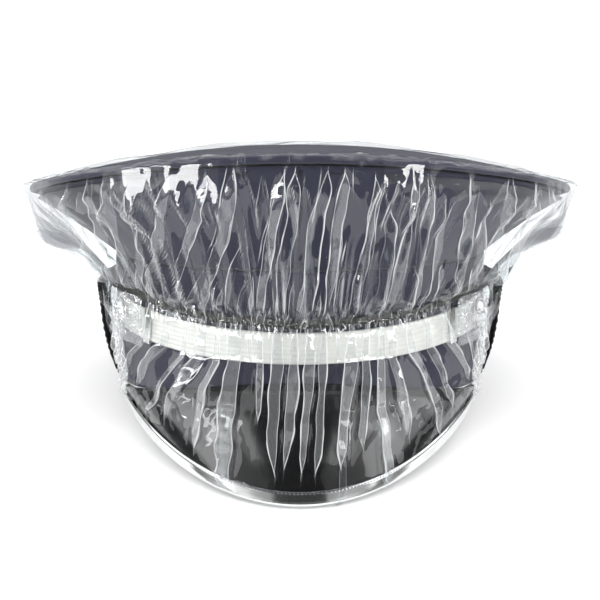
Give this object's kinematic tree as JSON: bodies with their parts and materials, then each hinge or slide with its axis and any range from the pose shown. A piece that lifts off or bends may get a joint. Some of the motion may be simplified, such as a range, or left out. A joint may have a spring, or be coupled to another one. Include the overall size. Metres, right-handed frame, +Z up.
{
  "type": "rain cap",
  "caption": "Peaked uniform cap with a wide stiff crown, braid front strap and patent peak, wearing a clear vinyl rain cover held by elastic hems.",
  "frame": {"origin": "centre of the bounding box at its bottom, on the surface that the cap lies on", "axes": "+Z up, the peak points to -Y, +X is to the right of someone who looks at the cap's front"},
  "size_m": [0.269, 0.293, 0.1449],
  "materials": {
    "navy_cloth": "navy wool barathea",
    "band_cloth": "black ribbed braid cloth",
    "board": "stiff board",
    "sweatband_leather": "smooth leather",
    "lining": "satin lining",
    "patent": "black patent",
    "underlay": "matt lining cloth",
    "silver_roll": "metallised silver",
    "silver_braid": "metallic braid",
    "silver_metal": "polished",
    "steel": "plain wire",
    "clear_film": "clear vinyl",
    "white_elastic": "covered elastic",
    "black_elastic": "ribbed elastic tape"
  },
  "bodies": {
    "cap": {"crown_top": "navy_cloth", "crown_quarter_front_right": "navy_cloth", "crown_quarter_rear_right": "navy_cloth", "crown_quarter_rear_left": "navy_cloth", "crown_quarter_front_left": "navy_cloth", "crown_piping": "navy_cloth", "crown_wire": "steel", "front_stay": "board", "crown_lining": "lining", "cap_band": "band_cloth", "band_stiffener": "board", "sweatband": "sweatband_leather", "peak_shell": "patent", "peak_underlay": "underlay", "peak_binding": "silver_roll", "front_strap": "silver_braid", "button_clip_left": "steel", "button_clip_right": "steel"},
    "button_left": {"side_button_left": "silver_metal"},
    "button_right": {"side_button_right": "silver_metal"},
    "keeper_left": {"strap_keeper_left": "silver_metal"},
    "keeper_right": {"strap_keeper_right": "silver_metal"},
    "rain_cover": {"crown_cover": "clear_film", "peak_cover": "clear_film", "gather_elastic": "black_elastic", "gather_frill": "clear_film", "hem_tape": "black_elastic", "peak_hem_elastic": "white_elastic"}
  },
  "joints": [
    {"name": "button_left_turn", "type": "hinge", "parent": "cap", "child": "button_left", "pos_m": [-0.07876, -0.04106, 0.05631], "axis": [-0.9229, -0.3804, 0.0596], "continuous": true},
    {"name": "button_right_turn", "type": "hinge", "parent": "cap", "child": "button_right", "pos_m": [0.07876, -0.04106, 0.05631], "axis": [0.9229, -0.3804, 0.0596], "continuous": true},
    {"name": "keeper_left_slide", "type": "hinge", "parent": "cap", "child": "keeper_left", "pos_m": [0.01591, -0.00369, 0.05597], "axis": [0, 0.0124, 0.9999], "range_deg": [-5, 5]},
    {"name": "keeper_right_slide", "type": "hinge", "parent": "cap", "child": "keeper_right", "pos_m": [-0.01591, -0.00369, 0.05597], "axis": [0, 0.0124, 0.9999], "range_deg": [-5, 5]},
    {"name": "cover_lift", "type": "slide", "parent": "cap", "child": "rain_cover", "axis": [0, 0, 1], "range_m": [0, 0.15], "deforming": ["crown_cover", "peak_cover", "gather_elastic", "gather_frill", "hem_tape", "peak_hem_elastic"]}
  ]
}
